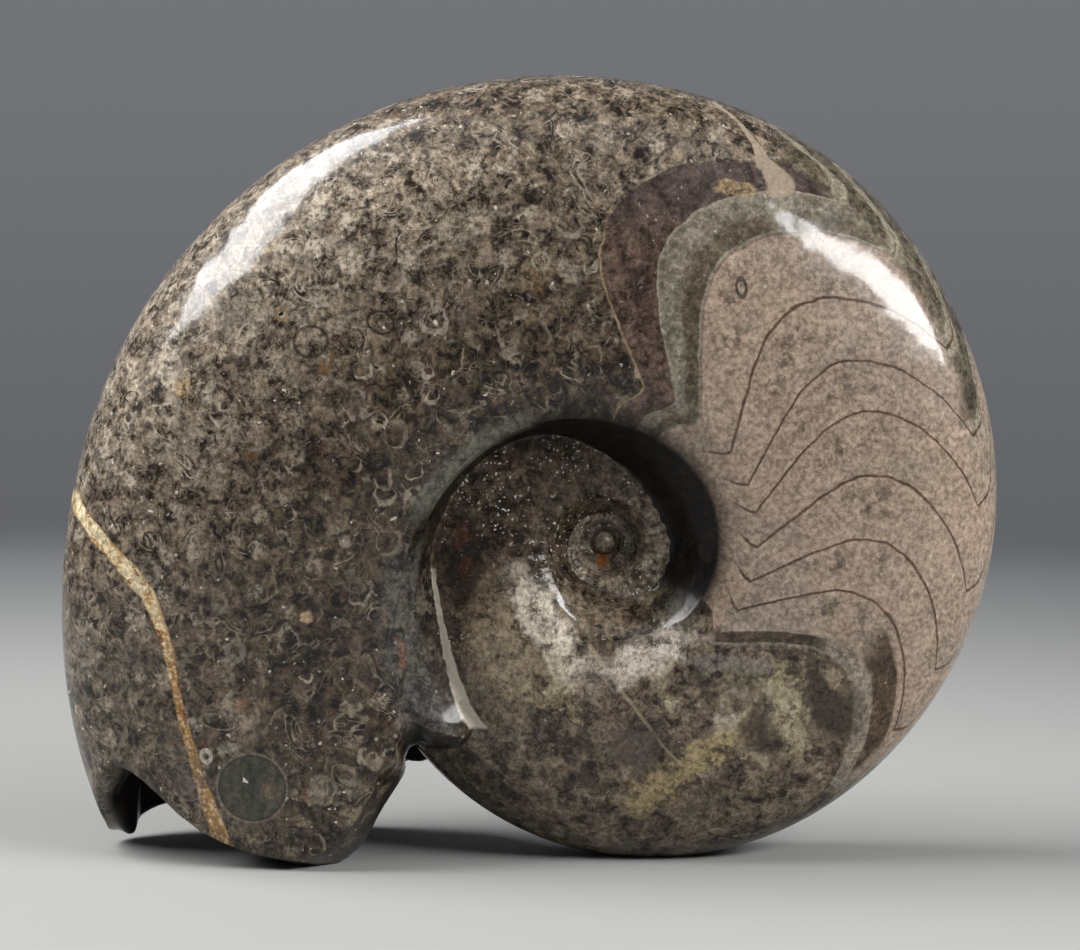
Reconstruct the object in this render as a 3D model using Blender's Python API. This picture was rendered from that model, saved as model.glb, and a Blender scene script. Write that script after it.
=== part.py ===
"""Goniatite: the coiled shell of a Devonian ammonoid, cut free of its rock as one polished stone.

The conch is one tube of growing section, swept round the coiling axis and joined to itself where
each whorl clasps the one before. It ends in a hollowed mouth between a near lobe and a far lobe.
Metres, +Z up, the coiling axis along Y. The stone stands on its belly and on the two lobes.
"""

import math

import bmesh
import bpy
from mathutils import Vector

NAME = "goniatite"
MM = 0.001

# The centre of coiling, from the middle of the ground the stone covers.
AXIS_X, AXIS_Y, AXIS_Z = 13.85 * MM, -2.7 * MM, 58.0 * MM

# Growth of the conch. Angle in degrees from +X towards +Z; then in millimetres the radius of the
# venter (outer edge), of the umbilical shoulder and of the umbilical seam, and half the width.
GROWTH = (
    (0, 33.8, 7.6, 5.9, 9.5),
    (90, 39.0, 9.5, 5.7, 10.9),
    (180, 46.0, 10.6, 6.7, 13.2),
    (225, 50.8, 11.5, 7.8, 15.2),
    (270, 58.0, 15.6, 8.9, 17.0),
    (300, 62.5, 18.0, 11.2, 18.1),
    (330, 66.5, 19.8, 12.4, 19.2),
    (360, 71.1, 20.8, 12.4, 20.1),
    (390, 75.6, 21.9, 12.1, 20.9),
    (420, 80.7, 22.7, 13.4, 21.6),
    (450, 84.2, 24.2, 17.0, 22.3),
    (480, 88.7, 26.8, 23.6, 23.0),
    (510, 93.2, 30.2, 27.8, 23.7),
    (540, 98.3, 35.6, 30.9, 24.3),
    (570, 106.0, 42.5, 33.8, 24.6),
    (600, 111.5, 51.0, 40.5, 24.4),
)
WHORL_RATIO = 2.1  # growth in one turn of the whorls inside the first station
TUBE_START = -760  # the knob covers the earlier turns
MOUTH_START = 540
# How far apart the rings are, in degrees, up to a coiling angle: the early whorls are small.
RING_STEPS = ((-40, 18), (230, 12), (MOUTH_START, 8))
MOUTH_RINGS = 6

# Half of the whorl's section, from the middle of its inner side out to the venter. The first
# number is 0 at the seam, 1 at the shoulder and 2 at the venter; the second is a share of half
# the width. The points are numbered from 0, and a curve through them makes the section.
SECTION = (
    (-0.5, 0.0), (-0.5, 0.32), (0.0, 0.49), (0.5, 0.72), (1.0, 0.91), (1.12, 0.985),
    (1.29, 1.0), (1.46, 0.962), (1.62, 0.885), (1.78, 0.755), (1.895, 0.57),
    (1.962, 0.365), (1.992, 0.17), (2.0, 0.0),
)
# Where on the half section the mesh has its points, by the numbering of SECTION.
SECTION_STOPS = (0, 1, 2, 3, 4, 4.5, 5, 5.7, 6.4, 7.1, 7.8, 8.4, 9, 9.6, 10.3, 11.1, 12, 13)
HALF = len(SECTION_STOPS)
LOOP = 2 * HALF - 2

# The mouth's margin: the coiling angle where the shell ends, at points of the half section.
NEAR_MARGIN = (
    (0, 586), (1, 590), (2.4, 594), (3.3, 588), (4.1, 581), (4.7, 583.3), (5.6, 585.2), (6.4, 587),
    (7.2, 585.8), (8.0, 580.5), (8.6, 574.8), (9.2, 567.5), (9.8, 564.5), (10.5, 565.5), (13, 570),
)
FAR_MARGIN = (
    (0, 586), (1, 591), (2.4, 595), (3.3, 592), (4.1, 588.5), (4.6, 586.5), (5.1, 584.5),
    (6.0, 587), (6.8, 588), (7.4, 583), (7.9, 577.5), (8.5, 572), (9.2, 570.1), (10.2, 570.2),
    (11.0, 571.7), (12.0, 571.2), (13, 570),
)
# The far lobe flares outward over the last stretch before its margin.
FAR_FLARE = 5.5 * MM
FLARE_FROM, FLARE_TO = 550, 572
# The body chamber leans back from the plane of coiling, most at its venter.
LEAN = 6.0 * MM
LEAN_FROM, LEAN_TO = 470, 590

# The mouth's rounded lip and its hollow, ring by ring inward from the margin: how far the ring has
# closed across the width and along the radius, how far it has gone back to the hollow's bottom,
# and how far it stands forward of the margin in millimetres.
HOLLOW = (
    (0.09, 0.03, 0.0, 1.2),
    (0.26, 0.06, 0.0, 3.2),
    (0.48, 0.10, 0.0, 5.2),
    (0.56, 0.17, 0.06, 2.4),
    (0.66, 0.32, 0.35, 0.0),
    (0.78, 0.55, 0.72, 0.0),
    (0.90, 0.80, 0.96, 0.0),
)
HOLLOW_RADIUS, HOLLOW_ANGLE = 78 * MM, 562

KNOB_RADIUS = 2.7 * MM
KNOB_HALF_WIDTH = 4.3 * MM
GROUND_SIZE = 0.4


def curve_through(rows, at):
    """A smooth curve through rows of (place, value, ...): the values at one place."""
    if at <= rows[0][0]:
        return rows[0][1:]
    if at >= rows[-1][0]:
        return rows[-1][1:]
    after = next(number for number, row in enumerate(rows) if row[0] >= at)
    before = rows[max(after - 2, 0)]
    start, end = rows[after - 1], rows[after]
    beyond = rows[min(after + 1, len(rows) - 1)]
    span = end[0] - start[0]
    t = (at - start[0]) / span
    values = []
    for a, b, c, d in zip(before[1:], start[1:], end[1:], beyond[1:]):
        leaving = (c - a) / (end[0] - before[0]) * span
        arriving = (d - b) / (beyond[0] - start[0]) * span
        values.append(
            (2 * t**3 - 3 * t**2 + 1) * b
            + (t**3 - 2 * t**2 + t) * leaving
            + (3 * t**2 - 2 * t**3) * c
            + (t**3 - t**2) * arriving
        )
    return values


def ease(value):
    value = min(max(value, 0.0), 1.0)
    return value * value * (3 - 2 * value)


def growth(angle):
    """Venter, shoulder and seam radius and half width at a coiling angle, in metres."""
    if angle <= 0:
        shrink = WHORL_RATIO ** (angle / 360)
        return [value * shrink * MM for value in GROWTH[0][1:]]
    return [value * MM for value in curve_through(GROWTH, angle)]


def place(angle, radius, across):
    turn = math.radians(angle)
    return Vector(
        (
            AXIS_X + radius * math.cos(turn),
            AXIS_Y + across,
            AXIS_Z + radius * math.sin(turn),
        )
    )


def side_of(slot):
    """A point of the section loop as its place on the half section and its side of the plane."""
    if slot < HALF:
        return SECTION_STOPS[slot], -1
    return SECTION_STOPS[LOOP - slot], 1


def section_point(slot, angle):
    """Radius, distance across and lean of a point of the loop at a coiling angle."""
    stop, side = side_of(slot)
    out, share = curve_through([(n, *point) for n, point in enumerate(SECTION)], stop)
    venter, shoulder, seam, width = growth(angle)
    if out < 1:
        radius = seam + out * (shoulder - seam)
    else:
        radius = shoulder + (out - 1) * (venter - shoulder)
        if side > 0:
            radius += FAR_FLARE * share * (out - 1) * ease((angle - FLARE_FROM) / (FLARE_TO - FLARE_FROM))
    lean = LEAN * max(out, 0) / 2 * ease((angle - LEAN_FROM) / (LEAN_TO - LEAN_FROM))
    return radius, side * width * share, lean


def margin(slot):
    stop, side = side_of(slot)
    return curve_through(FAR_MARGIN if side > 0 else NEAR_MARGIN, stop)[0]


def shell_point(slot, angle):
    radius, across, lean = section_point(slot, angle)
    return place(angle, radius, across + lean)


def hollow_point(slot, across_closed, radius_closed, back, forward):
    end = margin(slot)
    radius, across, lean = section_point(slot, end)
    radius += (HOLLOW_RADIUS - radius) * radius_closed
    # The lip is full on the lobes and dies out towards the middle of the section.
    forward *= abs(across) / growth(end)[3]
    angle = end + (HOLLOW_ANGLE - end) * back + math.degrees(forward * MM / radius)
    lean += (LEAN / 2 - lean) * across_closed
    return place(angle, radius, across * (1 - across_closed) + lean)


def ring_angles():
    """The coiling angles at which the tube has a ring, up to where the mouth starts."""
    angles = [TUBE_START]
    while angles[-1] < MOUTH_START:
        step = next(step for before, step in RING_STEPS if angles[-1] < before)
        angles.append(min(angles[-1] + step, MOUTH_START))
    return angles


def extruded(bm, edges):
    made = bmesh.ops.extrude_edge_only(bm, edges=edges)["geom"]
    ring = [item for item in made if isinstance(item, bmesh.types.BMVert)]
    loop = [item for item in made if isinstance(item, bmesh.types.BMEdge)]
    return ring, [edge for edge in loop if all(vert in ring for vert in edge.verts)]


def conch():
    """The tube, as one ring of the section drawn out along the spiral, then in at the mouth."""
    bm = bmesh.new()
    number = bm.verts.layers.int.new("slot")
    ring = bmesh.ops.create_circle(bm, segments=LOOP, radius=MM)["verts"]
    for slot, vert in enumerate(ring):
        vert[number] = slot
    edges = bm.edges[:]
    bmesh.ops.edgeloop_fill(bm, edges=edges)
    for vert in ring:
        vert.co = shell_point(vert[number], TUBE_START)

    for angle in ring_angles()[1:]:
        ring, edges = extruded(bm, edges)
        for vert in ring:
            vert.co = shell_point(vert[number], angle)
    for step in range(1, MOUTH_RINGS + 1):
        ring, edges = extruded(bm, edges)
        for vert in ring:
            reach = margin(vert[number]) - MOUTH_START
            vert.co = shell_point(vert[number], MOUTH_START + reach * step / MOUTH_RINGS)
    for row in HOLLOW:
        ring, edges = extruded(bm, edges)
        for vert in ring:
            vert.co = hollow_point(vert[number], *row)
    bmesh.ops.edgeloop_fill(bm, edges=edges)
    bmesh.ops.recalc_face_normals(bm, faces=bm.faces)
    return bm


def knob():
    """The first chambers, a bead on the coiling axis that shows on both sides."""
    bm = bmesh.new()
    bmesh.ops.create_uvsphere(bm, u_segments=16, v_segments=10, radius=KNOB_RADIUS)
    bmesh.ops.scale(bm, vec=(1, 1, KNOB_HALF_WIDTH / KNOB_RADIUS), verts=bm.verts)
    return bm


def ground():
    bm = bmesh.new()
    bmesh.ops.create_cube(bm, size=GROUND_SIZE)
    return bm


def polished_limestone():
    material = bpy.data.materials.new("polished_limestone")
    material.use_nodes = True
    shader = material.node_tree.nodes["Principled BSDF"]
    shader.inputs["Base Color"].default_value = (0.16, 0.125, 0.10, 1)
    shader.inputs["Roughness"].default_value = 0.16
    shader.inputs["Metallic"].default_value = 0.0
    return material


def as_object(bm, name, collection):
    mesh = bpy.data.meshes.new(name)
    bm.to_mesh(mesh)
    bm.free()
    obj = bpy.data.objects.new(name, mesh)
    collection.objects.link(obj)
    return obj


def boolean(obj, name, operation, other):
    other.hide_render = True
    other.display_type = "WIRE"
    modifier = obj.modifiers.new(name, "BOOLEAN")
    modifier.operation = operation
    modifier.object = other
    modifier.solver = "EXACT"
    return modifier


for old in list(bpy.data.objects):
    bpy.data.objects.remove(old, do_unlink=True)
parts = bpy.data.collections.new(NAME)
cutters = bpy.data.collections.new("cutters")
for collection in (parts, cutters):
    bpy.context.scene.collection.children.link(collection)

fossil = as_object(conch(), NAME, parts)
fossil.data.materials.append(polished_limestone())

first_chambers = as_object(knob(), "first_chambers", cutters)
first_chambers.rotation_euler = (math.pi / 2, 0, 0)
first_chambers.location = (AXIS_X, AXIS_Y, AXIS_Z)
# The tube runs through its own earlier whorls, so this union also joins it to itself.
boolean(fossil, "join_whorls", "UNION", first_chambers).use_self = True

below_ground = as_object(ground(), "below_ground", cutters)
below_ground.location = (0, 0, -GROUND_SIZE / 2)
boolean(fossil, "level_the_base", "DIFFERENCE", below_ground)

fossil.data.shade_smooth()
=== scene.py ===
import math

import bmesh
import bpy
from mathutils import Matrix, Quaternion, Vector


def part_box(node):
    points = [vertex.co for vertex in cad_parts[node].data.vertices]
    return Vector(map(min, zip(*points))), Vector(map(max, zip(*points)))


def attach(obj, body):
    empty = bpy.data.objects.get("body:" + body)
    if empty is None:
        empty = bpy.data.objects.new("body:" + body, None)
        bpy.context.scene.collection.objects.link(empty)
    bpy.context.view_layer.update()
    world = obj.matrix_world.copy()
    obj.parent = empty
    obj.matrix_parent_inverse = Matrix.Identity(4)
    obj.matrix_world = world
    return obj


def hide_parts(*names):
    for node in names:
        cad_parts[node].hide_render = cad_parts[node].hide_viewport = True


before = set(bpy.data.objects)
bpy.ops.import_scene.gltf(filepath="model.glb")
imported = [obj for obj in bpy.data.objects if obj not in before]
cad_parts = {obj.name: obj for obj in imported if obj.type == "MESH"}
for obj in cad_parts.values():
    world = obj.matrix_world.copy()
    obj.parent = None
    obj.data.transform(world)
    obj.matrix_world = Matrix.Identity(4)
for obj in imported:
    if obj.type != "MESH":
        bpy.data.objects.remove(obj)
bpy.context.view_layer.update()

# THE SHELL'S GROWTH
# The animal built its shell as one tube that widened as it coiled. Each row is a moment of that
# growth: the coiling angle, then in millimetres how far from the coiling axis the outer edge, the
# umbilical shoulder and the seam with the whorl inside it lie, and half the tube's width.
MM = 0.001
AXIS = Vector((13.85, -2.7, 58.0))
A_TURN = 360
YOUNG_GROWTH_A_TURN = 2.1
GROWTH = (
    (0, 33.8, 7.6, 5.9, 9.5),
    (90, 39.0, 9.5, 5.7, 10.9),
    (180, 46.0, 10.6, 6.7, 13.2),
    (225, 50.8, 11.5, 7.8, 15.2),
    (270, 58.0, 15.6, 8.9, 17.0),
    (300, 62.5, 18.0, 11.2, 18.1),
    (330, 66.5, 19.8, 12.4, 19.2),
    (360, 71.1, 20.8, 12.4, 20.1),
    (390, 75.6, 21.9, 12.1, 20.9),
    (420, 80.7, 22.7, 13.4, 21.6),
    (450, 84.2, 24.2, 17.0, 22.3),
    (480, 88.7, 26.8, 23.6, 23.0),
    (510, 93.2, 30.2, 27.8, 23.7),
    (540, 98.3, 35.6, 30.9, 24.3),
    (570, 106.0, 42.5, 33.8, 24.6),
    (600, 111.5, 51.0, 40.5, 24.4),
)


def curve_through(rows, at):
    """A smooth curve through rows of (place, value, ...): the values at one place."""
    if at <= rows[0][0]:
        return rows[0][1:]
    if at >= rows[-1][0]:
        return rows[-1][1:]
    after = next(number for number, row in enumerate(rows) if row[0] >= at)
    before = rows[max(after - 2, 0)]
    start, end = rows[after - 1], rows[after]
    beyond = rows[min(after + 1, len(rows) - 1)]
    span = end[0] - start[0]
    t = (at - start[0]) / span
    values = []
    for a, b, c, d in zip(before[1:], start[1:], end[1:], beyond[1:]):
        leaving = (c - a) / (end[0] - before[0]) * span
        arriving = (d - b) / (beyond[0] - start[0]) * span
        values.append(
            (2 * t**3 - 3 * t**2 + 1) * b
            + (t**3 - 2 * t**2 + t) * leaving
            + (3 * t**2 - 2 * t**3) * c
            + (t**3 - t**2) * arriving
        )
    return values


def growth(angle):
    """The row of growth at any angle: before the first row the shell grew in a steady ratio."""
    if angle <= 0:
        return [value * YOUNG_GROWTH_A_TURN ** (angle / A_TURN) for value in GROWTH[0][1:]]
    return curve_through(GROWTH, angle)


# THE WHORL'S SECTION AND THE MOUTH'S EDGE
# Cut across, the whorl is a tall oval that clasps the one inside it. Each row of the section is
# how far out a point lies (0 seam, 1 shoulder, 2 outer edge) and its share of half the width.
# The carver followed the broken edge of the last chamber, so the mouth has an uneven lobe each side.
SECTION = [
    (number, *point)
    for number, point in enumerate(
        (
            (-0.5, 0.0), (-0.5, 0.32), (0.0, 0.49), (0.5, 0.72), (1.0, 0.91), (1.12, 0.985),
            (1.29, 1.0), (1.46, 0.962), (1.62, 0.885), (1.78, 0.755), (1.895, 0.57),
            (1.962, 0.365), (1.992, 0.17), (2.0, 0.0),
        )
    )
]
NEAR_MARGIN = (
    (0, 586), (1, 590), (2.4, 594), (3.3, 588), (4.1, 581), (4.7, 583.3), (5.6, 585.2), (6.4, 587),
    (7.2, 585.8), (8.0, 580.5), (8.6, 574.8), (9.2, 567.5), (9.8, 564.5), (10.5, 565.5), (13, 570),
)
FAR_MARGIN = (
    (0, 586), (1, 591), (2.4, 595), (3.3, 592), (4.1, 588.5), (4.6, 586.5), (5.1, 584.5),
    (6.0, 587), (6.8, 588), (7.4, 583), (7.9, 577.5), (8.5, 572), (9.2, 570.1), (10.2, 570.2),
    (11.0, 571.7), (12.0, 571.2), (13, 570),
)
LAST_STOP = len(SECTION) - 1
HALF_LOOP = 56
STOPS = [LAST_STOP * number / HALF_LOOP for number in range(HALF_LOOP + 1)]
FAR_LOBE_FLARE = 5.5
MOUTH_MIDDLE = 78
MOUTH_LEAN, HOLLOW_LEAN = 6, 3
WRINKLE_SHARE = 0.013


def ease(value):
    """A gentle start and end between 0 and 1, and no further."""
    value = min(max(value, 0.0), 1.0)
    return value * value * (3 - 2 * value)


def side_of(slot):
    """The loop runs from the seam out along the near flank and back along the far one."""
    if slot <= HALF_LOOP:
        return STOPS[slot], -1
    return STOPS[2 * HALF_LOOP - slot], 1


def margin(slot):
    """The coiling angle at which the broken edge of the mouth lies."""
    stop, side = side_of(slot)
    return curve_through(FAR_MARGIN if side > 0 else NEAR_MARGIN, stop)[0]


def on_shell(slot, angle, across_closed=0.0, inward=0.0, turned=0.0):
    """Where a point of the loop is at a coiling angle, drawn in towards the middle if asked."""
    stop, side = side_of(slot)
    out, share = curve_through(SECTION, stop)
    venter, shoulder, seam, width = growth(angle)
    if out < 1:
        radius = seam + out * (shoulder - seam)
    else:
        radius = shoulder + (out - 1) * (venter - shoulder)
        if side > 0:
            radius += FAR_LOBE_FLARE * share * (out - 1) * ease((angle - 550) / 22)
    radius += (MOUTH_MIDDLE - radius) * inward
    lean = MOUTH_LEAN * max(out, 0) / 2 * ease((angle - 470) / 120)
    across = side * width * share * (1 - across_closed)
    across += lean + (HOLLOW_LEAN - lean) * across_closed
    on_young_flank = ease((240 - angle) / 60) * ease((out - 0.3) / 0.7)
    across *= 1 + WRINKLE_SHARE * on_young_flank * math.sin(angle / 2.3)
    turn = math.radians(angle) + turned * share / radius
    return (AXIS + Vector((radius * math.cos(turn), across, radius * math.sin(turn)))) * MM


# THE STONE CONCH
# Lime mud filled the tube and set as hard as marble, and the carver freed it from its rock. One
# ring of the section is drawn out along the spiral and then turned in at the mouth, as the shell
# was grown, and every corner keeps its place on the tube for the markings to follow.
SPIRAL_STARTS, MOUTH_STARTS = -760, 540
RINGS_TO_THE_EDGE, RINGS_INTO_THE_HOLLOW = 14, 24
HOLLOW = (
    # step, then shares: closed across, drawn inward, back from the edge, and millimetres turned
    (0.0, 0.0, 0.0, 0.0, 0.0), (1.0, 0.09, 0.03, 0.0, 1.2), (2.0, 0.26, 0.06, 0.0, 3.2),
    (3.0, 0.48, 0.10, 0.0, 5.2), (4.0, 0.56, 0.17, 0.06, 2.4), (5.0, 0.66, 0.32, 0.35, 0.0),
    (6.0, 0.78, 0.55, 0.72, 0.0), (7.0, 0.90, 0.80, 0.96, 0.0), (8.0, 0.98, 0.95, 1.0, 0.0),
)
HOLLOW_BOTTOM = 562
tube = bmesh.new()
slot_of = tube.verts.layers.int.new("slot")
grown = tube.verts.layers.float.new("grown")
hollowed = tube.verts.layers.float.new("hollowed")
ring = bmesh.ops.create_circle(tube, segments=2 * HALF_LOOP, radius=MM)["verts"]
for slot, vert in enumerate(ring):
    vert[slot_of] = slot
rim = tube.edges[:]
bmesh.ops.edgeloop_fill(tube, edges=rim)


def draw_out(rim, angle_of, hollow=0.0, **turned_in):
    """One more ring, drawn from the last one to the angle that each of its points reaches."""
    made = bmesh.ops.extrude_edge_only(tube, edges=rim)["geom"]
    ring = {item for item in made if isinstance(item, bmesh.types.BMVert)}
    for vert in ring:
        vert[grown] = angle_of(vert[slot_of])
        vert[hollowed] = hollow
        vert.co = on_shell(vert[slot_of], vert[grown], **turned_in)
    return [
        item
        for item in made
        if isinstance(item, bmesh.types.BMEdge) and set(item.verts) <= ring
    ]


for vert in ring:
    vert[grown] = SPIRAL_STARTS
    vert.co = on_shell(vert[slot_of], SPIRAL_STARTS)
angle = SPIRAL_STARTS
while angle < MOUTH_STARTS:
    coarser = 1
    angle += coarser * (6 if angle < -300 else 3.5 if angle < 240 else 2.5)
    rim = draw_out(rim, lambda slot: min(angle, MOUTH_STARTS))
for step in range(1, RINGS_TO_THE_EDGE + 1):
    share = step / RINGS_TO_THE_EDGE
    rim = draw_out(rim, lambda slot: MOUTH_STARTS + (margin(slot) - MOUTH_STARTS) * share)
for step in range(1, RINGS_INTO_THE_HOLLOW + 1):
    share = step / RINGS_INTO_THE_HOLLOW
    across_closed, inward, back, forward = curve_through(HOLLOW, share * HOLLOW[-1][0])
    rim = draw_out(
        rim,
        lambda slot: margin(slot) + (HOLLOW_BOTTOM - margin(slot)) * back,
        hollow=share,
        across_closed=across_closed,
        inward=inward,
        turned=forward,
    )
bmesh.ops.edgeloop_fill(tube, edges=rim)
bmesh.ops.recalc_face_normals(tube, faces=tube.faces)

# Where a corner lies on the tube goes into its two maps: turns and section, then the hollow.
coil_map = tube.loops.layers.uv.new("coil")
mouth_map = tube.loops.layers.uv.new("mouth")
for face in tube.faces:
    for loop in face.loops:
        stop, side = side_of(loop.vert[slot_of])
        loop[coil_map].uv = (loop.vert[grown] / A_TURN, stop / LAST_STOP)
        loop[mouth_map].uv = (loop.vert[hollowed], side)

mesh = bpy.data.meshes.new("conch")
tube.to_mesh(mesh)
tube.free()
conch = bpy.data.objects.new("conch", mesh)
bpy.context.scene.collection.objects.link(conch)

# THE FIRST CHAMBERS AND THE GROUND
# At the bottom of the coil sits the bead of the first chambers, the same on both sides. The stone
# rests on three worn flats, one under its belly and one under each lobe of the mouth.
BEAD_RADIUS, BEAD_HALF_WIDTH = 2.7, 4.3
GROUND_SIZE = 0.4
bead = bmesh.new()
bmesh.ops.create_uvsphere(bead, u_segments=32, v_segments=20, radius=BEAD_RADIUS * MM)
bmesh.ops.scale(bead, vec=(1, BEAD_HALF_WIDTH / BEAD_RADIUS, 1), verts=bead.verts)
bmesh.ops.translate(bead, vec=AXIS * MM, verts=bead.verts)
ground = bmesh.new()
bmesh.ops.create_cube(ground, size=GROUND_SIZE)
bmesh.ops.translate(ground, vec=(0, 0, -GROUND_SIZE / 2), verts=ground.verts)
for form, name, operation in ((bead, "bead", "UNION"), (ground, "ground", "DIFFERENCE")):
    mesh = bpy.data.meshes.new(name)
    form.to_mesh(mesh)
    form.free()
    other = bpy.data.objects.new(name, mesh)
    bpy.context.scene.collection.objects.link(other)
    joined = conch.modifiers.new(name, "BOOLEAN")
    joined.operation = operation
    joined.solver = "EXACT"
    joined.use_self = operation == "UNION"
    joined.object = other
graph = bpy.context.evaluated_depsgraph_get()
whole = bpy.data.meshes.new_from_object(conch.evaluated_get(graph))
conch.modifiers.clear()
conch.data = whole

# The joins leave some corners doubled, less than a thousandth of a millimetre apart. Merging them
# closes the surface of the stone.
merged = bmesh.new()
merged.from_mesh(whole)
bmesh.ops.remove_doubles(merged, verts=merged.verts, dist=0.001 * MM)
merged.to_mesh(whole)
merged.free()
for name in ("bead", "ground"):
    bpy.data.objects.remove(bpy.data.objects[name], do_unlink=True)
conch.data.shade_smooth()

# Finer rings bulge a hair further than the frame's coarse ones, so the stone is drawn back to it.
low, high = (Vector(corner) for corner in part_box("goniatite"))
corners = [vert.co for vert in conch.data.vertices]
for axis in range(3):
    least = min(corner[axis] for corner in corners)
    most = max(corner[axis] for corner in corners)
    for corner in corners:
        share = (corner[axis] - least) / (most - least)
        corner[axis] = low[axis] + share * (high[axis] - low[axis])
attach(conch, "root")
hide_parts("goniatite")

# THE LIMESTONE
# The whole stone is one finish, wired up from here on. It is clouded at every size, from a hand's
# breadth down to its grains, and edges in it are never clean: places are pushed about at random.
def paint(red, green, blue):
    """A colour as the eye reads it off a card, 0 to 255, in the light's own terms."""
    return (*(((share / 255 + 0.055) / 1.055) ** 2.4 for share in (red, green, blue)), 1.0)


class Wiring:
    """Adds nodes to a material's or the world's node tree and joins them up."""

    def __init__(self, tree):
        self.tree = tree

    def node(self, kind, sockets=None, **settings):
        made = self.tree.nodes.new(kind)
        for name, value in settings.items():
            setattr(made, name, value)
        for socket, value in (sockets or {}).items():
            if isinstance(value, bpy.types.NodeSocket):
                self.tree.links.new(value, made.inputs[socket])
            else:
                made.inputs[socket].default_value = value
        return made

    def calc(self, operation, *values):
        return self.node("ShaderNodeMath", dict(enumerate(values)), operation=operation).outputs[0]

    def both(self, *masks):
        """The part of the stone that all of the masks share."""
        shared = masks[0]
        for mask in masks[1:]:
            shared = self.calc("MULTIPLY", shared, mask)
        return shared

    def along(self, operation, *values):
        made = self.node("ShaderNodeVectorMath", dict(enumerate(values)), operation=operation)
        single = operation in ("LENGTH", "DISTANCE", "DOT_PRODUCT")
        return made.outputs["Value" if single else "Vector"]

    def ramp(self, value, start, end, low=0.0, high=1.0, soft=True):
        """Low where the value is at start or before it, high at end or beyond, either way round."""
        if start > end:
            start, end, low, high = end, start, high, low
        return self.node(
            "ShaderNodeMapRange",
            {"Value": value, 1: start, 2: end, 3: low, 4: high},
            interpolation_type="SMOOTHSTEP" if soft else "LINEAR",
        ).outputs[0]

    def beside(self, value, middle, edge, core, low=0.0, high=1.0):
        """High within core of the middle value, and low from edge outwards."""
        gap = self.calc("ABSOLUTE", self.calc("SUBTRACT", value, middle))
        return self.ramp(gap, edge, core, low, high)

    def mix(self, mask, under, over, blend="MIX"):
        return self.node(
            "ShaderNodeMix", {0: mask, 6: under, 7: over}, data_type="RGBA", blend_type=blend
        ).outputs[2]

    def noise(self, place, size, detail=2.0, rough=0.5, distort=0.0):
        """Cloudy noise whose clouds are about this many millimetres across."""
        return self.node(
            "ShaderNodeTexNoise",
            {"Vector": place, "Scale": 1 / size, "Detail": detail, "Roughness": rough,
             "Distortion": distort},
        ).outputs

    def cells(self, place, across):
        """Cells this many millimetres across, and the three chances that each one draws."""
        cell = self.node("ShaderNodeTexVoronoi", {"Vector": place, "Scale": 1 / across}).outputs
        chances = self.node("ShaderNodeSeparateColor", {0: cell["Color"]}).outputs
        return cell, list(chances)

    def drawn(self, value, rows, corners=()):
        """The height of a curve drawn through rows of (value, height)."""
        first, last = rows[0][0], rows[-1][0]
        least = min(height for _, height in rows)
        most = max(height for _, height in rows)
        bend = self.node(
            "ShaderNodeFloatCurve", {"Value": self.ramp(value, first, last, soft=False)}
        )
        points = bend.mapping.curves[0].points
        while len(points) < len(rows):
            points.new(0.5, 0.5)
        for point, (at, height) in zip(points, rows):
            point.location = ((at - first) / (last - first), (height - least) / (most - least))
            point.handle_type = "VECTOR" if corners == "all" or at in corners else "AUTO"
        bend.mapping.update()
        return self.ramp(bend.outputs[0], 0, 1, least, most, soft=False)


limestone = bpy.data.materials.new("polished limestone")
limestone.use_nodes = True
limestone.node_tree.nodes.clear()
rock = Wiring(limestone.node_tree)
calc, both, ramp, beside, mix = rock.calc, rock.both, rock.ramp, rock.beside, rock.mix
whole = rock.node("ShaderNodeTexCoord").outputs["Object"]
place = rock.along("MULTIPLY", whole, (1 / MM,) * 3)
x, y, z = rock.node("ShaderNodeSeparateXYZ", {0: place}).outputs
near = ramp(y, 1.0, -4.0)
coil = rock.node("ShaderNodeUVMap", uv_map="coil").outputs[0]
turns, section, _ = rock.node("ShaderNodeSeparateXYZ", {0: coil}).outputs
angle = calc("MULTIPLY", turns, A_TURN)
stop = calc("MULTIPLY", section, LAST_STOP)
flat = rock.along("MULTIPLY", rock.along("SUBTRACT", place, tuple(AXIS)), (1, 0, 1))
from_axis = rock.along("LENGTH", flat)

broad = rock.noise(place, 26, 3, 0.55)[0]
cloud = rock.noise(place, 5, 3, 0.62)[0]
grain = rock.noise(place, 0.9, 2, 0.7)[0]


def shaken(size, *reaches):
    """Places pushed about at random by up to half each reach, to break up straight edges."""
    push = rock.node("ShaderNodeSeparateColor", {0: rock.noise(place, size, 2, 0.6)[1]}).outputs
    push = rock.node("ShaderNodeCombineXYZ", dict(enumerate(push))).outputs[0]
    for far in reaches:
        centred = rock.along("SUBTRACT", place, (far / 2,) * 3)
        yield rock.along("MULTIPLY_ADD", push, (far,) * 3, centred)


(frayed,) = shaken(1.8, 2.2)
bent, wild = shaken(4.0, 2.8, 9.0)
tear = rock.noise(place, 2.4, 1)[0]
mottle = rock.noise(bent, 2.9, 4, 0.84)[0]
wisps = rock.noise(wild, 11, 4, 0.62)[0]

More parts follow.
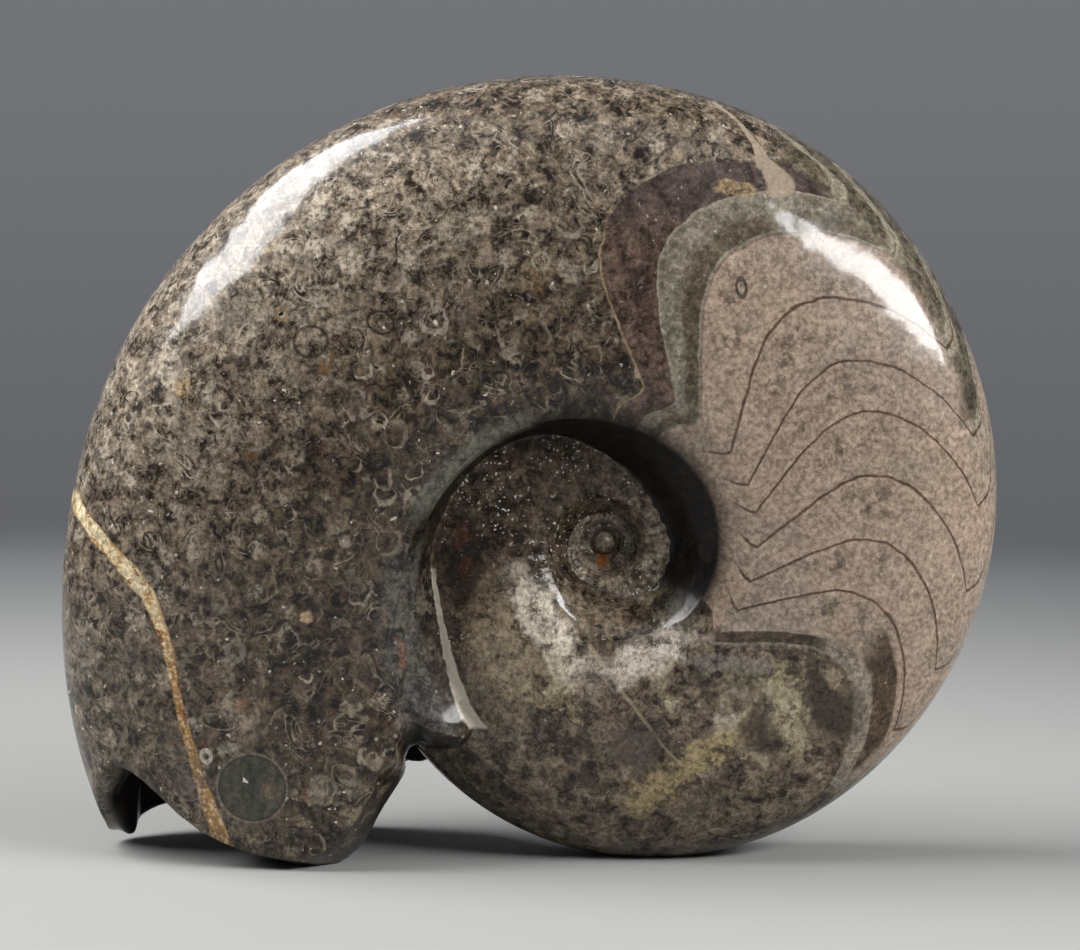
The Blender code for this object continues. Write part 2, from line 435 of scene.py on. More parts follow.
# THE CHAMBERS AND THEIR WALLS
# The old chambers were walled off one after another and filled with gas, and calcite filled them
# later, in greens, greys and browns. Each wall met the shell in the same wavy line: a broad saddle
# on the flank between two pointed lobes. Each filling mottles between a dark and a light tone.
BEHIND_CREST = (
    # stop of the section, degrees of coiling that the wall lies behind its own crest
    (0, 6), (2, 3), (4.0, -4.5), (4.5, -10.6), (5.03, -14.2), (5.3, -10.9), (5.6, -7.7),
    (6, -4.3), (6.5, -1.5), (7.06, 0), (7.6, -0.6), (8.1, -3), (8.5, -6.1), (9, -11),
    (9.5, -16), (9.9, -20), (10.27, -23.5), (10.6, -22.8), (10.9, -22), (11.35, -16.5),
    (12, -12), (12.3, -11), (13, -14),
)
POINTED_LOBES = (5.03, 10.27)
CRESTS = (
    236, 248.6, 261.3, 273.9, 286.6, 299.2, 311.9, 324.5, 337.2, 350.8, 363.0, 376.6, 389.9,
    400.2, 413.5, 428.9, 439.7, 451,
)
SLANT = (
    # stop of the section, how much nearer the wall is than it looks along the coil
    (0, 0.9), (4.1, 0.9), (4.8, 0.8), (5.5, 0.8), (7, 1), (8, 0.85), (9.5, 0.6), (10.3, 0.7),
    (11.2, 0.55), (12, 0.8), (13, 1),
)
CHAMBER_TURN = math.radians(12.7)
crest = calc("SUBTRACT", angle, rock.drawn(stop, BEHIND_CREST, corners=POINTED_LOBES))
crest = calc("ADD", crest, ramp(cloud, 0.2, 0.8, -0.5, 0.5, soft=False))
before, after = (223.4, -1), (463, len(CRESTS))
chamber = rock.drawn(
    crest,
    [before] + [(degrees, number) for number, degrees in enumerate(CRESTS)] + [after],
    corners="all",
)
wall = calc("ROUND", chamber)
off_wall = calc("SUBTRACT", chamber, wall)
off_wall = both(off_wall, both(from_axis, rock.drawn(stop, SLANT)), CHAMBER_TURN)
to_wall = calc("ABSOLUTE", off_wall)
number = calc("FLOOR", chamber)
through = calc("SUBTRACT", chamber, number)


def from_chamber(first):
    """The part of the stone from one chamber on, towards the mouth."""
    return ramp(number, first - 0.6, first - 0.4)


dark, light = paint(30, 20, 12), paint(124, 110, 92)


def fill(mask, dark_tone, light_tone):
    """Fills the part of the stone under the mask with mottling between two tones."""
    global dark, light
    dark, light = mix(mask, dark, dark_tone), mix(mask, light, light_tone)


# The oldest chambers in sight are brown and purple, with ochre and pale blotches.
blotch = rock.noise(rock.along("ADD", wild, (31, 7, 5)), 11, 3, 0.65)[0]
fill(ramp(wisps, 0.5, 0.64), paint(88, 75, 61), paint(148, 134, 116))
fill(ramp(wisps, 0.46, 0.36, 0, 0.7), paint(34, 22, 18), paint(62, 47, 43))
fill(ramp(blotch, 0.58, 0.66, 0, 0.8), paint(104, 90, 60), paint(172, 160, 134))

# The next are taupe, a little greyer in places, with dark dashes on the middle of the flank.
taupe = from_chamber(8)
fill(taupe, paint(143, 124, 108), paint(161, 142, 125))
fill(both(taupe, ramp(broad, 0.42, 0.62)), paint(128, 112, 99), paint(155, 139, 125))
fill(both(taupe, ramp(wisps, 0.54, 0.66, 0, 0.6)), paint(106, 98, 87), paint(134, 126, 113))
hazy = both(ramp(stop, 5.6, 6.4), ramp(stop, 8.6, 7.4))
hazy = both(hazy, both(ramp(through, 0.25, 0.5), ramp(through, 0.95, 0.72)))
dashes = ramp(rock.noise(bent, 3.2, 3, 0.75)[0], 0.48, 0.64, 0, 0.8)
fill(both(taupe, both(hazy, dashes)), paint(72, 61, 52), paint(98, 87, 77))
edge_lobe = both(ramp(stop, 7.9, 8.4), ramp(stop, 10.5, 10.1))
edge_lobe = both(edge_lobe, calc("COMPARE", number, 8.0, 0.1), beside(through, 0.52, 0.34, 0.24))
fill(edge_lobe, paint(50, 36, 24), paint(100, 82, 64))

# One is green-grey with pale rims, the last one reddish brown, and the outer edge olive.
green = from_chamber(15)
fill(green, paint(92, 84, 71), paint(138, 130, 115))
inner_half = ramp(calc("MULTIPLY_ADD", cloud, 0.5, through), 0.8, 0.62)
fill(both(green, inner_half), paint(66, 57, 44), paint(110, 100, 83))
rim = calc("MAXIMUM", ramp(through, 0.93, 0.98, 0, 0.8), ramp(through, 0.1, 0.03, 0, 0.8))
fill(both(green, rim), paint(128, 120, 106), paint(150, 143, 130))
reddish = from_chamber(16)
fill(reddish, paint(44, 31, 24), paint(106, 87, 76))
fill(both(reddish, ramp(z, 112, 124, 0, 0.7)), paint(46, 37, 36), paint(76, 65, 61))
venter = both(ramp(stop, 10.0, 10.5), from_chamber(13))
fill(venter, paint(50, 43, 31), paint(110, 101, 84))
fill(both(venter, ramp(to_wall, 2.2, 0.9, 0, 0.85)), paint(128, 120, 102), paint(154, 146, 128))

# THE LIME MUD AND ITS BROKEN SHELLS
# The last chamber, where the animal lived, filled with black lime mud while shells, sea lily
# rings and grit still washed about in it. Sawn and polished, they show as arcs, rings and specks.
# The mud is painted lighter towards the outer edge, the top and the upper left: painted sheen.
# The open umbilicus is crusted with the same mud.
over_shell = both(ramp(z, 127.2, 128.2), ramp(x, 46, 44))
body = calc("MAXIMUM", from_chamber(17), both(over_shell, reddish))
fill(body, paint(13, 6, 2), paint(108, 92, 74))
fill(both(body, ramp(z, 100, 80, 0, 0.65)), paint(9, 4, 1), paint(84, 70, 55))
fill(both(body, ramp(wisps, 0.5, 0.38, 0, 0.6)), paint(8, 3, 1), paint(80, 66, 52))
# Painted sheen: the mud, its curls and its grains are painted lighter towards the outer edge, the
# top and the upper left, a little less so at the very top.
painted_sheen = both(ramp(stop, 5.6, 9.6), ramp(z, 35, 100, 0.3, 1.0))
painted_sheen = both(painted_sheen, both(body, ramp(z, 140, 124, 0.4, 1.0)), ramp(x, 4, -18, 0.5, 1.0))
fill(both(painted_sheen, ramp(cloud, 0.25, 0.6, 0.5, 1.0)), paint(44, 32, 21), paint(182, 166, 146))
pale_dark = mix(painted_sheen, paint(78, 66, 52), paint(124, 112, 96))
pale_light = mix(painted_sheen, paint(120, 108, 92), paint(168, 157, 141))
fill(both(body, ramp(wisps, 0.54, 0.66, 0, 0.5)), pale_dark, pale_light)
old = ramp(angle, 236, 208)
fill(old, paint(10, 5, 2), paint(92, 79, 64))
between_ribs = ramp(calc("SINE", calc("MULTIPLY", angle, 0.62)), 0.9, 0.0, 0.6, 1.0)
fill(both(ramp(angle, 130, 0), between_ribs), paint(62, 51, 40), paint(164, 151, 132))
colour = mix(ramp(mottle, 0.40, 0.64, soft=False), dark, light)

# Thin shells lie in the mud like crumpled paper: their edges follow the levels of warped clouds.
for size, sheets, share in ((9.0, 4.2, 0.8), (5.0, 3.0, 0.55)):
    curls = rock.noise(place, size, 1, 0.4, 0.7)[0]
    leaf = calc("PINGPONG", calc("MULTIPLY", curls, sheets), 0.5)
    leaf = calc("ADD", leaf, ramp(mottle, 0.35, 0.65, -0.05, 0.05))
    lit_side = both(beside(leaf, 0.33, 0.055, 0.02), body, ramp(cloud, 0.46, 0.66, 0, share))
    colour = mix(lit_side, colour, mix(painted_sheen, paint(136, 125, 110), paint(176, 165, 149)))
    seam_side = both(ramp(leaf, 0.40, 0.45), body, ramp(tear, 0.46, 0.66, 0, share))
    colour = mix(seam_side, colour, paint(18, 11, 6))


def shells(under, across, share, thick, pale_tone, dark_tone, seed, leaning):
    """Mud with broken shells cut through at random: one thin ball to a cell, thick in places."""
    moved = rock.along("ADD", bent, (seed, seed * 0.37, seed * 0.71))
    cell, (red, green, blue) = rock.cells(moved, across)
    radius = ramp(red, 0, 1, across * 0.13, across * 0.4, soft=False)
    if leaning:
        offset = rock.along("SUBTRACT", moved, cell["Position"])
        aim = rock.node("ShaderNodeCombineXYZ", {0: red, 1: green, 2: blue}).outputs[0]
        aim = rock.along("NORMALIZE", rock.along("SUBTRACT", aim, (0.5, 0.5, 0.5)))
        lean = calc("DIVIDE", rock.along("DOT_PRODUCT", offset, aim), radius)
        bare = ramp(blue, 0, 1, -0.9, 0.5, soft=False)
        lean = calc("DIVIDE", calc("SUBTRACT", lean, bare), calc("SUBTRACT", 1.0, bare))
        lean = calc("MAXIMUM", lean, 0.0)
    else:
        lean = ramp(tear, 0.44, 0.66)
    inside = calc("MULTIPLY", radius, -1.0)
    gap = calc("ABSOLUTE", calc("MULTIPLY_ADD", cell["Distance"], across, inside))
    shell = ramp(calc("SUBTRACT", gap, calc("MULTIPLY", lean, thick)), 0.14, -0.14)
    kept = both(ramp(green, share, share - 0.02), ramp(lean, 0.0, 0.12))
    kept = both(kept, body, ramp(mottle, 0.36, 0.52, 0.35, 0.95))
    return mix(both(shell, kept), under, mix(blue, pale_tone, dark_tone))


for layer in (
    # cell, share of cells, thickness, a light and a dark tone, seed, whether each leans its way
    (5.2, 0.45, 0.26, paint(22, 17, 13), paint(32, 25, 20), 71.0, False),
    (8.0, 0.55, 0.60, paint(136, 124, 110), paint(90, 79, 69), 29.0, True),
    (4.6, 0.40, 0.34, paint(148, 136, 120), paint(98, 87, 76), 47.0, True),
    (6.3, 0.50, 0.46, paint(126, 113, 98), paint(106, 93, 79), 113.0, True),
    (12.0, 0.30, 0.34, paint(104, 82, 56), paint(88, 62, 46), 91.0, False),
):
    colour = shells(colour, *layer)


def specks(under, across, share, size, tone, where):
    """Grains of one tone scattered over what is under them, a share of the cells holding one."""
    cell, (chance, _, _) = rock.cells(frayed, across)
    dot = calc("SUBTRACT", cell["Distance"], calc("MULTIPLY", chance, size / share * 0.5))
    dot = both(ramp(dot, size * 0.5, size * 0.2), ramp(chance, share, share * 0.9))
    return mix(both(dot, where), under, tone)


crumb = mix(painted_sheen, paint(124, 113, 98), paint(176, 164, 147))
colour = specks(colour, 5.5, 0.42, 0.55, crumb, both(body, ramp(grain, 0.35, 0.6, 0.2, 0.85)))
gritty = both(ramp(broad, 0.4, 0.6, 1.0, 0.4), ramp(body, 0, 1, 0.4, 1.0))
colour = specks(colour, 1.5, 0.22, 0.27, paint(204, 194, 178), gritty)
sparkling = both(old, ramp(wisps, 0.44, 0.58))
colour = specks(colour, 0.75, 0.6, 0.44, paint(196, 190, 178), sparkling)

# The walls themselves: thin brown lines, one thick one, and a pale one where the mud begins.
FIRST_LINE, THICK_WALL, LAST_WALL = 8.9, 8.0, 17.0
mottled = ramp(mottle, 0.4, 0.6)
line_colour = mix(ramp(cloud, 0.35, 0.65), paint(66, 49, 38), paint(90, 68, 53))
strength = both(ramp(wall, FIRST_LINE - 1, FIRST_LINE, 0.1, 0.95), ramp(wall, 15.4, 13.9, 0.35, 1.0))
strength = both(strength, both(ramp(wall, 16.9, 16.1), ramp(stop, 4.0, 4.7, 0.1, 1.0)))
colour = mix(both(ramp(to_wall, 0.34, 0.12), strength), colour, line_colour)
mud_edge = both(calc("COMPARE", wall, LAST_WALL, 0.1), ramp(to_wall, 0.32, 0.1))
mud_edge = both(mud_edge, both(ramp(stop, 8.0, 7.2), ramp(cloud, 0.35, 0.5, 0.2, 0.8)))
colour = mix(mud_edge, colour, paint(142, 122, 96))
thick = both(calc("COMPARE", wall, THICK_WALL, 0.1), ramp(stop, 4.7, 5.1))
thick_rim = mix(mottled, paint(112, 102, 90), paint(150, 140, 126))
colour = mix(both(thick, ramp(to_wall, 1.9, 1.2, 0, 0.8)), colour, thick_rim)
thick_core = mix(mottled, paint(44, 35, 26), paint(82, 68, 54))
on_flank = both(thick, ramp(stop, 7.4, 6.8), ramp(to_wall, 1.2, 0.8))
colour = mix(on_flank, colour, thick_core)

# THE UMBILICUS
# The older turns lie open in the middle. They are too deep for the polishing wheel, so they keep a
# natural crust, sparkling with calcite, with the fine growth wrinkles of the young shell and some
# rust from iron in the sea bed. The steep walls are painted nearly black as painted shade, the seam
# gets painted shade in its crease, and a strip of wall near the mouth carries a painted reflection.
steep = both(ramp(angle, 302, 336), ramp(angle, 560, 520, 0.6, 1.0))
# Painted shade: the steep walls of the umbilicus are painted nearly black, mottled a little.
painted_shade_wall = both(ramp(stop, 4.35, 3.75), steep)
colour = mix(painted_shade_wall, colour, mix(ramp(mottle, 0.46, 0.64), paint(13, 10, 8), paint(34, 27, 22)))
strip = both(beside(stop, 3.75, 0.55, 0.35), both(ramp(angle, 474, 484), ramp(angle, 534, 520)))
colour = mix(both(strip, ramp(mottle, 0.36, 0.5, 0.3, 0.9)), colour, paint(98, 97, 85))
# Painted reflection: a pale bluish-grey strip along the wall near the mouth, where the lamp on the
# right is mirrored.
painted_reflection = both(beside(stop, 3.5, 0.9, 0.5), ramp(angle, 534, 546))
colour = mix(both(painted_reflection, ramp(mottle, 0.4, 0.6, 0.1, 0.5)), colour, paint(98, 97, 93))
# Painted shade in the crease where each turn meets the one inside it, over the seam's own narrow
# dark line.
colour = mix(ramp(stop, 2.2, 0.9, 0, 0.9), colour, paint(16, 12, 9))
knob = mix(mottled, paint(98, 88, 74), paint(158, 147, 132))
knob = mix(ramp(from_axis, 1.9, 1.6), paint(104, 92, 77), knob)
colour = mix(ramp(from_axis, BEAD_RADIUS + 0.1, BEAD_RADIUS - 0.2), colour, knob)

# THE VEIN
# Long after it set, the stone cracked, and calcite stained with iron healed the crack: one broad
# vein crosses the lobe, and finer ones the inner turns.
ragged_x, _, ragged_z = rock.node("ShaderNodeSeparateXYZ", {0: frayed}).outputs


def partly(straight, ragged, share):
    """Somewhere between a straight place and its ragged one."""
    return calc("ADD", calc("MULTIPLY", straight, 1 - share), calc("MULTIPLY", ragged, share))


VEIN = (
    # height, how far across
    (3, -53.8), (6.3, -55.5), (10.9, -57), (16.4, -59), (21.9, -60.4), (26.5, -61.8),
    (31, -62.8), (36.5, -63.8), (41, -64.7), (44.6, -66), (49.1, -67.8), (52.5, -70.5),
    (56, -73.3), (58.4, -76.1), (61.7, -79), (64, -81.1), (66.3, -82.3), (70, -82.6),
)
VEIN_HALF = (
    # height, half the vein's width
    (3, 1.7), (10, 1.5), (20, 1.0), (31, 0.85), (41, 1.1), (49, 1.5), (53, 2.2), (58, 2.1),
    (64, 1.7), (70, 1.4),
)
far_shift = both(ramp(y, -8, 12), ramp(z, 72, 0, 0, 9, soft=False))
off_vein = calc("SUBTRACT", partly(x, ragged_x, 0.25), far_shift)
off_vein = calc("ABSOLUTE", calc("SUBTRACT", off_vein, rock.drawn(z, VEIN)))
vein = calc("DIVIDE", off_vein, rock.drawn(z, VEIN_HALF))
calcite = mix(ramp(z, 56, 34), paint(206, 190, 154), paint(156, 122, 78))
calcite = mix(ramp(tear, 0.5, 0.62, 0, 0.8), calcite, paint(168, 128, 72))
calcite = mix(ramp(grain, 0.5, 0.7, 0, 0.45), calcite, paint(228, 216, 190))
rusty = both(ramp(mottle, 0.54, 0.6), ramp(vein, 0.2, 0.7, 0.4, 1))
calcite = mix(rusty, calcite, paint(112, 58, 34))
vein_edge = mix(ramp(cloud, 0.4, 0.6), paint(96, 58, 36), paint(164, 138, 100))
calcite = mix(ramp(vein, 0.66, 1.0, 0, 0.85), calcite, vein_edge)
vein_ends = both(ramp(z, 67.6, 66.4), ramp(x, -40, -46))
colour = mix(both(vein_ends, ramp(vein, 1.12, 0.9)), colour, calcite)

# THE MARKS ON THE NEAR SIDE
# Sea lily rings, shell scraps, a dark nodule, ochre patches and fine cracks lie where they fell in
# the mud or opened in it, and a few pale patches in the umbilicus are painted highlights. They are
# laid on one another first, and then on the stone.
laid, covered = paint(0, 0, 0), 0.0


def lay(mask, tone):
    """Lays one more mark over those before it, and keeps how much of the stone they cover."""
    global laid, covered
    laid = mix(mask, laid, tone)
    covered = rock.node("ShaderNodeMix", {0: mask, 2: covered, 3: 1.0}).outputs[0]


def streak(middle, half, fray=0.35):
    """How far off a crack a place lies, 1 at its edge, and whether it is level with the crack."""
    gap = calc("SUBTRACT", partly(x, ragged_x, fray), rock.drawn(partly(z, ragged_z, fray), middle))
    lowest, highest = middle[0][0], middle[-1][0]
    level = both(ramp(z, lowest - 0.6, lowest + 0.2), ramp(z, highest + 0.6, highest - 0.2))
    return calc("DIVIDE", calc("ABSOLUTE", gap), rock.drawn(z, half)), level


STREAKS = (
    # rows of height and place across, rows of height and half width, colour, strength
    (
        ((25.5, -8.9), (28.2, -10.9), (34.1, -13.1), (41.4, -14.9), (48.6, -16.3), (54, -17)),
        ((25.5, 1.8), (30, 1.4), (40, 0.8), (54, 0.4)),
        paint(216, 206, 190), 0.85,
    ),
    (
        ((17.5, 29.8), (22.5, 24.6), (28.4, 20.2), (34.5, 15.6), (40.8, 11.2)),
        ((17.5, 0.3), (28, 0.4), (40.8, 0.5)),
        paint(150, 136, 112), 0.75,
    ),
    (
        ((36.4, -22.8), (38.5, -22.3), (41, -22.5), (42.4, -23.6)),
        ((36.4, 0.4), (39, 0.7), (42.4, 0.4)),
        paint(104, 70, 54), 0.65,
    ),
    (
        ((121.4, 44.7), (122.6, 45.2), (125.2, 44.4), (127, 42.6), (130.8, 40.6), (134.4, 37.6),
         (137.6, 33.6)),
        ((121.4, 1.5), (123.2, 2.5), (126, 2.2), (128.6, 1.2), (131.5, 0.6), (137.6, 0.4)),
        paint(164, 148, 130), 0.9,
    ),
)
for middle, half, tone, strength in STREAKS:
    off, level = streak(middle, half)
    grainy = mix(ramp(grain, 0.35, 0.6, 0, 0.5), tone, paint(112, 98, 82))
    lay(both(ramp(off, 1.15, 0.8, 0, strength), level), grainy)


def spot(across_x, up_z, radius, tall, tilt, where):
    """How far a place on the near side is from a mark's middle, 1 at its edge."""
    offset = rock.along("SUBTRACT", where, (across_x, 0, up_z))
    if tilt == 0:
        squashed = rock.along("MULTIPLY", offset, (1 / radius, 0, 1 / radius / tall))
        return rock.along("LENGTH", squashed)
    cosine, sine = math.cos(math.radians(tilt)) / radius, math.sin(math.radians(tilt)) / radius
    along = rock.along("DOT_PRODUCT", offset, (cosine, 0, sine))
    upright = rock.along("DOT_PRODUCT", offset, (-sine / tall, 0, cosine / tall))
    return calc("SQRT", calc("MULTIPLY_ADD", along, along, calc("MULTIPLY", upright, upright)))


SPOTS = (
    # x, z, radius, tall, tilt, soft edge, how frayed, colour, strength
    (-49.5, 15.3, 7.4, 1.0, 0, 0.25, 1, paint(84, 73, 62), 0.7),
    (-71.6, 38.8, 1.7, 1.3, 25, 0.3, 1, paint(96, 86, 78), 0.7),
    (-61.7, 18.1, 3.2, 2.2, 25, 0.5, 2, paint(96, 88, 82), 0.5),
    (-33.3, 113.2, 2.4, 0.7, -20, 0.3, 1, paint(132, 121, 108), 0.8),
    (-52.0, 100.0, 4.6, 0.6, 30, 0.6, 2, paint(128, 118, 106), 0.7),
    (-51.0, 92.0, 3.0, 0.5, -15, 0.3, 2, paint(34, 27, 21), 0.7),
    (-51.5, 30.5, 1.7, 0.8, 0, 0.4, 1, paint(116, 84, 58), 0.7),
    (-50.6, 27.5, 1.5, 0.8, 30, 0.4, 1, paint(156, 140, 122), 0.8),
    (-53.8, 22.6, 1.9, 0.6, 10, 0.3, 1, paint(158, 148, 136), 0.75),
    (-39.4, 46.7, 1.1, 1.0, 0, 0.3, 1, paint(172, 146, 114), 0.85),
    (-61.6, 87.4, 1.5, 1.1, 0, 0.3, 1, paint(170, 144, 108), 0.85),
    (1.6, 106.6, 2.2, 0.8, 30, 0.4, 2, paint(108, 86, 58), 0.6),
    (8.6, 108.0, 2.6, 0.6, 35, 0.3, 1, paint(128, 117, 102), 0.7),
    (10.2, 104.6, 1.8, 0.8, 0, 0.3, 1, paint(34, 27, 22), 0.7),
    (37.0, 123.0, 3.9, 0.34, -8, 0.2, 1, paint(150, 128, 94), 0.9),
    (41.4, 123.2, 0.5, 1.0, 0, 0.3, 1, paint(20, 16, 12), 0.9),
    (33.5, 21.9, 8.5, 0.34, 42, 0.5, 2, paint(166, 148, 108), 0.85),
    (22.5, 13.9, 6.2, 0.5, 40, 0.5, 2, paint(160, 142, 104), 0.8),
    (35.0, 27.5, 3.0, 0.7, 20, 0.5, 2, paint(176, 164, 146), 0.75),
    (46.8, 28.0, 3.6, 2.1, 14, 0.5, 2, paint(176, 164, 134), 0.8),
    (40.0, 34.5, 3.8, 0.7, -20, 0.6, 2, paint(126, 118, 96), 0.7),
    (42.0, 25.5, 3.4, 1.2, 20, 0.5, 2, paint(44, 32, 28), 0.8),
    (20.0, 22.5, 5.0, 0.8, 20, 0.5, 2, paint(46, 35, 33), 0.75),
    (55.0, 30.5, 4.8, 1.6, 10, 0.5, 2, paint(46, 36, 26), 0.8),
    (55.2, 34.9, 1.5, 2.0, 40, 0.5, 1, paint(150, 134, 112), 0.75),
    (62.8, 37.0, 1.8, 0.9, 0, 0.4, 1, paint(56, 45, 34), 0.85),
    (36.5, 37.9, 8.0, 0.2, -4, 0.3, 1, paint(118, 109, 102), 0.8),
    # The next four rows are painted highlights and sheen: pale streaks along the shoulders of the
    # inner turns low in the umbilicus.
    (21.5, 39.0, 9.0, 0.34, 24, 0.6, 2, paint(202, 192, 178), 0.85),
    (9.5, 36.5, 4.5, 0.45, 20, 0.5, 1, paint(170, 158, 142), 0.7),
    (-4.5, 40.5, 6.5, 1.5, 10, 0.5, 2, paint(148, 132, 110), 0.7),
    (3.2, 44.5, 3.2, 3.2, 30, 0.6, 2, paint(216, 204, 186), 0.85),
    (-11.4, 56.6, 3.6, 1.9, -6, 0.4, 2, paint(20, 14, 10), 0.85),
    (-12.4, 60.4, 1.5, 1.2, 0, 0.5, 2, paint(78, 46, 26), 0.6),
    (-10.8, 54.6, 1.3, 1.6, 20, 0.5, 2, paint(74, 46, 28), 0.6),
    (78.9, 84.4, 1.3, 3.0, -12, 0.4, 1, paint(64, 54, 46), 0.7),
)
FRAYED = {1: frayed, 2: wild}
for across_x, up_z, radius, tall, tilt, edge, far, tone, strength in SPOTS:
    off = spot(across_x, up_z, radius, tall, tilt, FRAYED[far])
    patchy = ramp(mottle, 0.34, 0.56, 0.2, 1.0)
    lay(both(ramp(off, 1 + edge, 1 - edge, 0, strength), patchy), tone)

RINGS = (
    # x, z, radius, the wall's half share of it, tall, tilt, colour, strength
    (-52.3, 40.2, 1.5, 0.34, 1.0, 0, paint(104, 96, 88), 0.9),
    (-57.8, 20.9, 0.85, 0.42, 1.3, 10, paint(180, 172, 158), 0.9),
    (-63.1, 95.2, 1.0, 0.3, 1.0, 0, paint(112, 100, 84), 0.8),
    (-43.8, 100.7, 0.9, 0.4, 1.0, 0, paint(128, 108, 72), 0.7),
    (-55.6, 27.3, 3.2, 0.1, 0.42, -8, paint(124, 112, 98), 0.8),
    (38.0, 105.6, 0.85, 0.3, 1.9, 8, paint(58, 51, 42), 0.85),
    (2.4, 110.4, 1.5, 0.2, 1.0, 0, paint(136, 124, 106), 0.8),
    (-26.0, 99.5, 2.4, 0.12, 0.8, -20, paint(30, 23, 18), 0.8),
    (-38.5, 96.0, 3.0, 0.1, 0.9, 10, paint(36, 28, 22), 0.7),
)
for across_x, up_z, radius, half_wall, tall, tilt, tone, strength in RINGS:
    off = spot(across_x, up_z, radius, tall, tilt, place)
    lay(beside(off, 1.0, half_wall * 1.2, half_wall * 0.7, 0, strength), tone)

nodule = spot(-49.5, 15.3, 5.8, 1.0, 0, place)
stripe = rock.noise(rock.along("MULTIPLY", place, (1, 1, 0.3)), 1.6, 2)[0]
nodule_colour = mix(ramp(stripe, 0.3, 0.7), paint(48, 47, 40), paint(76, 74, 63))
stained = ramp(spot(-46.2, 14.8, 1.9, 1.0, 0, frayed), 1.3, 0.5, 0, 0.8)
nodule_colour = mix(stained, nodule_colour, paint(104, 90, 74))
lay(ramp(nodule, 1.18, 1.08, 0, 0.7), paint(120, 110, 98))
lay(ramp(nodule, 1.09, 1.04, 0, 0.8), paint(22, 19, 15))
lay(ramp(nodule, 1.03, 0.97), nodule_colour)
for across_x, up_z, radius, tone in (
    (-50.6, 16.7, 0.42, paint(220, 216, 206)),
    (-63.1, 95.2, 0.62, paint(12, 10, 9)),
    (-43.8, 100.7, 0.45, paint(16, 12, 10)),
    (13.7, 54.6, 1.2, paint(128, 80, 42)),
):
    lay(ramp(spot(across_x, up_z, radius, 1, 0, frayed), 1.2, 0.8), tone)
uncovered = mix(covered, colour, paint(0, 0, 0))
colour = mix(near, colour, mix(1.0, uncovered, laid, "ADD"))

# THE MOUTH'S HOLLOW AND THE POLISH
# The mouth was ground hollow, with a worn bevel round its edge, and the inside of the hollow is
# painted dark as painted shade. Over everything lies the polish: glossy, with faint streaks from the
# wheel and pits where grains were torn out.
mouth = rock.node("ShaderNodeUVMap", uv_map="mouth").outputs[0]
hollow, _, _ = rock.node("ShaderNodeSeparateXYZ", {0: mouth}).outputs
grainy = mix(ramp(grain, 0.28, 0.72), paint(120, 118, 114), paint(255, 255, 255))
colour = mix(0.7, colour, grainy, "MULTIPLY")
# Painted shade: the inside of the mouth's hollow is painted dark.
colour = mix(ramp(hollow, 0.16, 0.34), colour, paint(26, 22, 19))
round_the_coil = rock.along("MULTIPLY", coil, (60, 400, 0))
streaks = rock.noise(round_the_coil, 3.0, 3, 0.7)[0]
rough = calc("ADD", ramp(streaks, 0.3, 0.7, 0.30, 0.40), ramp(grain, 0.45, 0.8, 0.0, 0.08))
rough = calc("MAXIMUM", rough, calc("MULTIPLY", old, 0.45))
shine = both(ramp(angle, 208, 236, 0.2, 0.55), ramp(painted_shade_wall, 0, 1, 1, 0.2))
height = calc("MULTIPLY_ADD", grain, 0.012, calc("MULTIPLY", broad, 1.2))
height = calc("ADD", height, calc("MULTIPLY", both(cloud, old), 0.5))
relief = rock.node("ShaderNodeBump", {"Height": height, "Distance": MM, "Strength": 1.0})
finish = rock.node(
    "ShaderNodeBsdfPrincipled",
    {"Base Color": colour, "Roughness": rough, "IOR": 1.2, "Normal": relief.outputs[0],
     "Coat Weight": shine, "Coat Roughness": 0.12, "Coat Normal": relief.outputs[0]},
)
rock.node("ShaderNodeOutputMaterial", {0: finish.outputs[0]})
conch.data.materials.clear()
conch.data.materials.append(limestone)

# THE FLOOR
# A plain pale studio floor, a round sheet that fades out at its edge into the grey behind it. It is
# a little darker away from the stone, where the light falls off.
FLOOR_RADIUS = 0.62
PALEST = (-0.07, -0.09, 0)
floor = bmesh.new()
bmesh.ops.create_circle(floor, cap_ends=True, segments=96, radius=FLOOR_RADIUS)
mesh = bpy.data.meshes.new("floor")
floor.to_mesh(mesh)
floor.free()
floor = bpy.data.objects.new("floor", mesh)
bpy.context.scene.collection.objects.link(floor)
cloth = bpy.data.materials.new("pale floor")
cloth.use_nodes = True
cloth.node_tree.nodes.clear()
weave = Wiring(cloth.node_tree)
on_floor = weave.node("ShaderNodeTexCoord").outputs["Object"]
out_from_stone = weave.along("DISTANCE", on_floor, PALEST)
tint = weave.mix(weave.ramp(out_from_stone, 0.22, 0.58), paint(132, 132, 130), paint(78, 80, 82))
plain = weave.node("ShaderNodeBsdfPrincipled", {"Base Color": tint, "Roughness": 0.85})
clear = weave.node("ShaderNodeBsdfTransparent")
edge = weave.node(
    "ShaderNodeMixShader",
    {0: weave.ramp(out_from_stone, 0.5, 0.6), 1: plain.outputs[0], 2: clear.outputs[0]},
)
weave.node("ShaderNodeOutputMaterial", {0: edge.outputs[0]})
mesh.materials.append(cloth)

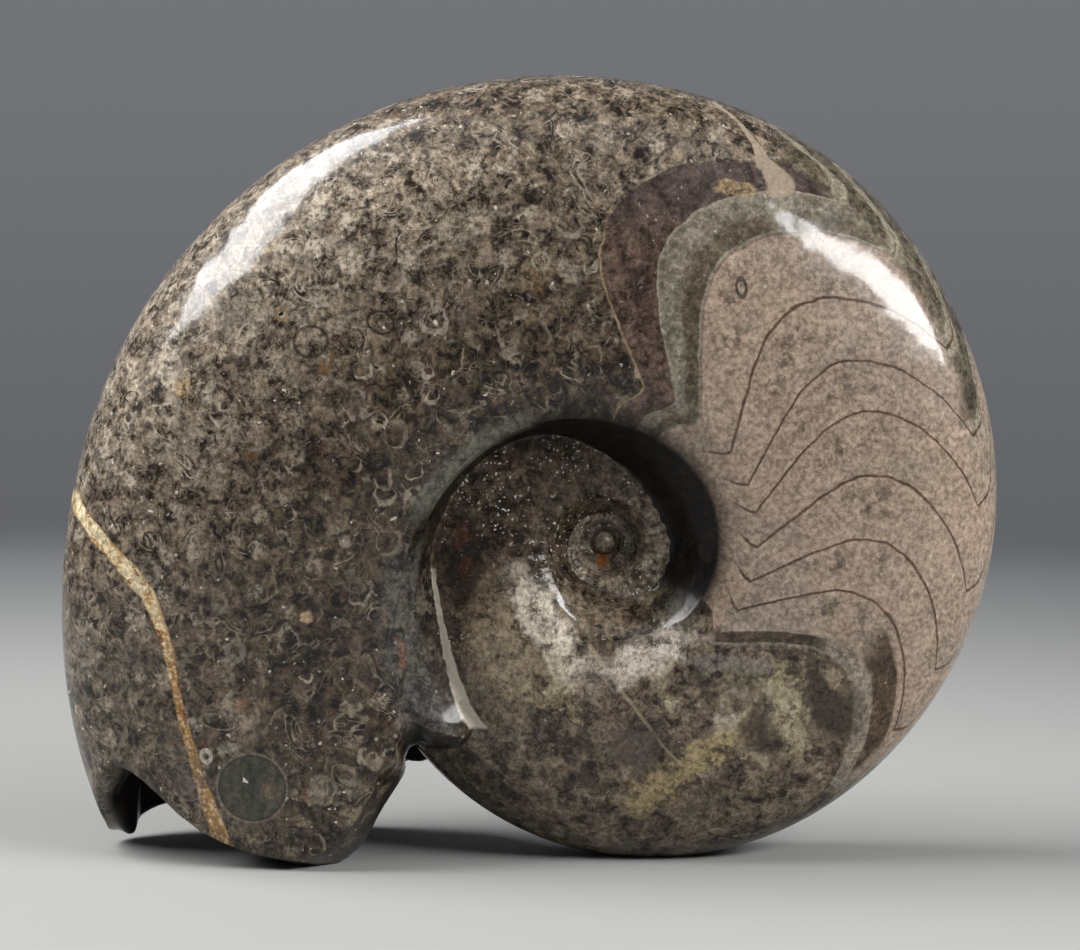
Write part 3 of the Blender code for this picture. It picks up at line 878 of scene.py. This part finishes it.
# THE LIGHT
# Two large soft boxes, high on the left and lower on the right, a weak one above, and grey all
# round, lighter above the horizon.
HORIZON = (-0.14, -0.02)
STONE_MIDDLE = Vector((0, 0, 0.07))
bpy.context.scene.view_settings.view_transform = "Standard"
world = bpy.data.worlds.new("studio")
bpy.context.scene.world = world
world.use_nodes = True
world.node_tree.nodes.clear()
air = Wiring(world.node_tree)
heading = air.node("ShaderNodeTexCoord").outputs["Generated"]
up = air.node("ShaderNodeSeparateXYZ", {0: heading}).outputs[2]
grey = air.mix(air.ramp(up, *HORIZON), paint(98, 99, 103), paint(114, 116, 120))
backdrop = air.node("ShaderNodeBackground", {0: grey})
air.node("ShaderNodeOutputWorld", {0: backdrop.outputs[0]})
for name, azimuth, elevation, roll, distance, wide, high, watts in (
    ("left box", -88, 46, -42, 0.95, 0.90, 0.40, 22),
    ("right box", 60, 27, -14, 0.95, 0.80, 0.22, 15),
    ("top box", -6, 66, 0, 1.0, 1.0, 0.5, 1.2),
):
    lamp = bpy.data.lights.new(name, "AREA")
    lamp.shape = "RECTANGLE"
    lamp.size, lamp.size_y = wide, high
    lamp.energy = watts
    box = bpy.data.objects.new(name, lamp)
    bpy.context.scene.collection.objects.link(box)
    turn, rise = math.radians(azimuth), math.radians(elevation)
    level = Vector((math.sin(turn), -math.cos(turn), 0)) * math.cos(rise)
    away = level + Vector((0, 0, math.sin(rise)))
    box.location = STONE_MIDDLE + away * distance
    facing = away.to_track_quat("Z", "Y") @ Quaternion((0, 0, 1), math.radians(roll))
    box.rotation_euler = facing.to_euler()

# CAMERA
# Straight in front of the near flank and a little above it, a metre off, with a long lens.
LOOK_AT = Vector((2.25, -2.7, 69.8)) * MM
RISE = math.radians(6.5)
CAMERA_DISTANCE = 1.0
camera = bpy.data.objects.new("camera", bpy.data.cameras.new("camera"))
bpy.context.scene.collection.objects.link(camera)
bpy.context.scene.camera = camera
camera.data.sensor_width = 36
camera.data.lens = 183.2
camera.location = LOOK_AT + Vector((0, -math.cos(RISE), math.sin(RISE))) * CAMERA_DISTANCE
camera.rotation_euler = (math.radians(90) - RISE, 0, 0)
